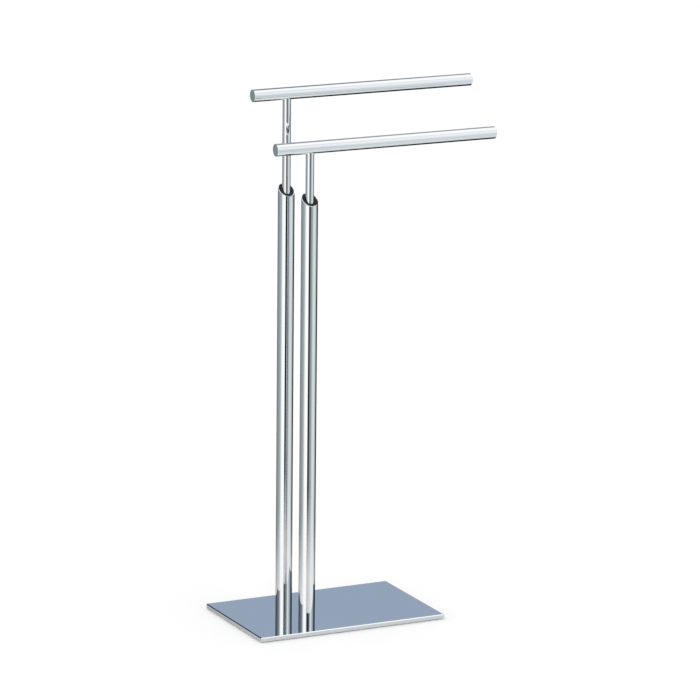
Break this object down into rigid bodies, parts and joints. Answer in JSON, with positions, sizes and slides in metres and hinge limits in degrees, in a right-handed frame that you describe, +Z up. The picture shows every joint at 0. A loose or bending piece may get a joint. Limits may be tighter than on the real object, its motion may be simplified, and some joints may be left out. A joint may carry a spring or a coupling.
{
  "type": "freestanding towel stand",
  "caption": "Freestanding chromed towel stand: a flat plate with upright tubes, each holding a swivelling arm with a long offset towel bar, the rear one higher.",
  "frame": {"origin": "on the floor, under the centre of the rectangular plate", "axes": "+Z up; +X along the towel bars, towards their long ends; +Y from the front post to the rear post"},
  "size_m": [0.414, 0.202, 0.82],
  "materials": {
    "plate_chrome": "mirror polished",
    "tube_chrome": "mirror polished",
    "cap_chrome": "polished",
    "zinc_steel": "bright zinc plated",
    "dark_screw_steel": "black oxide",
    "black_nylon": "matt",
    "sole_foam": "matt, fine-celled"
  },
  "bodies": {
    "base": {"base_plate": "plate_chrome", "anti_slip_sole": "sole_foam", "rear_post_tube": "tube_chrome", "rear_foot_plug": "zinc_steel", "rear_post_screw": "zinc_steel", "rear_guide_bush": "black_nylon", "rear_cup_bush": "black_nylon", "front_post_tube": "tube_chrome", "front_foot_plug": "zinc_steel", "front_post_screw": "zinc_steel", "front_guide_bush": "black_nylon", "front_cup_bush": "black_nylon"},
    "rear_arm": {"rear_arm_rod": "tube_chrome", "rear_rod_insert": "zinc_steel", "rear_arm_stud": "dark_screw_steel", "rear_bar_nut": "zinc_steel", "rear_towel_bar": "tube_chrome", "rear_bar_left_cap": "cap_chrome", "rear_bar_right_cap": "cap_chrome"},
    "front_arm": {"front_arm_rod": "tube_chrome", "front_rod_insert": "zinc_steel", "front_arm_stud": "dark_screw_steel", "front_bar_nut": "zinc_steel", "front_towel_bar": "tube_chrome", "front_bar_left_cap": "cap_chrome", "front_bar_right_cap": "cap_chrome"}
  },
  "joints": [
    {"name": "rear_arm_swivel", "type": "hinge", "parent": "base", "child": "rear_arm", "pos_m": [-0.051, 0.041, 0.6], "axis": [0, 0, 1], "continuous": true},
    {"name": "front_arm_swivel", "type": "hinge", "parent": "base", "child": "front_arm", "pos_m": [-0.051, -0.041, 0.6], "axis": [0, 0, 1], "range_deg": [-258, 78]}
  ]
}
